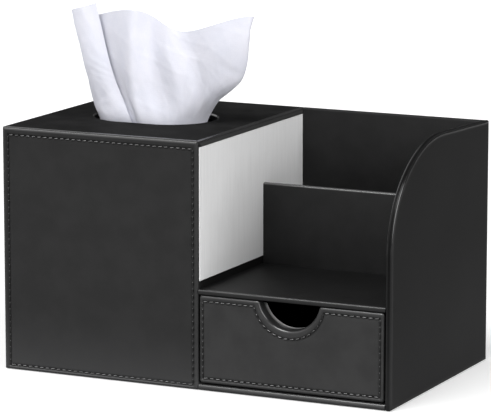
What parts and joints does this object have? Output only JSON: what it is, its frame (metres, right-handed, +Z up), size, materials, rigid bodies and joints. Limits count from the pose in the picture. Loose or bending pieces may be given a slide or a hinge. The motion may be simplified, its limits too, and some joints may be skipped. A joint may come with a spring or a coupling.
{
  "type": "tissue box with drawer",
  "caption": "Desk tissue box in boards wrapped in black leather cloth, with an open shelf over a notched drawer, a tall rear slot, a swept side and a hinged loading flap.",
  "frame": {"origin": "under the middle of the box, on the plane that it stands on", "axes": "+Z up, the front with the drawer faces -Y, the tissue housing is on the -X side"},
  "size_m": [0.26, 0.152, 0.222],
  "materials": {
    "pu_leather_black": "fine grain, satin",
    "lining_grey": "pale grey lining sheet, fine vertical brush",
    "felt_black": "short felt",
    "board_black": "fibreboard covered in black paper",
    "board_bare": "bare fibreboard",
    "steel": "plated",
    "tissue_white": "soft thin paper"
  },
  "bodies": {
    "case": {"front_panel": "pu_leather_black", "left_panel": "pu_leather_black", "top_panel": "pu_leather_black", "inner_wall": "pu_leather_black", "wall_lining": "lining_grey", "back_panel": "pu_leather_black", "right_panel": "pu_leather_black", "base_board": "pu_leather_black", "base_felt": "felt_black", "shelf_board": "pu_leather_black", "divider_panel": "pu_leather_black", "stop_batten": "board_bare", "stop_magnets": "steel", "tissue_stack": "tissue_white", "tissue_sheet": "tissue_white"},
    "drawer": {"drawer_front": "pu_leather_black", "drawer_front_wall": "pu_leather_black", "drawer_left_side": "board_black", "drawer_right_side": "board_black", "drawer_back": "board_black", "drawer_bottom": "board_black", "drawer_felt": "felt_black"},
    "flap": {"bottom_flap": "pu_leather_black", "flap_hinge_strip": "pu_leather_black", "flap_pull_tab": "pu_leather_black", "flap_steel_discs": "steel"}
  },
  "joints": [
    {"name": "drawer_slide", "type": "slide", "parent": "case", "child": "drawer", "axis": [0, -1, 0], "range_m": [0, 0.075]},
    {"name": "flap_hinge", "type": "hinge", "parent": "case", "child": "flap", "pos_m": [-0.063, 0.072, 0.0001], "axis": [1, 0, 0], "range_deg": [0, 105]}
  ]
}
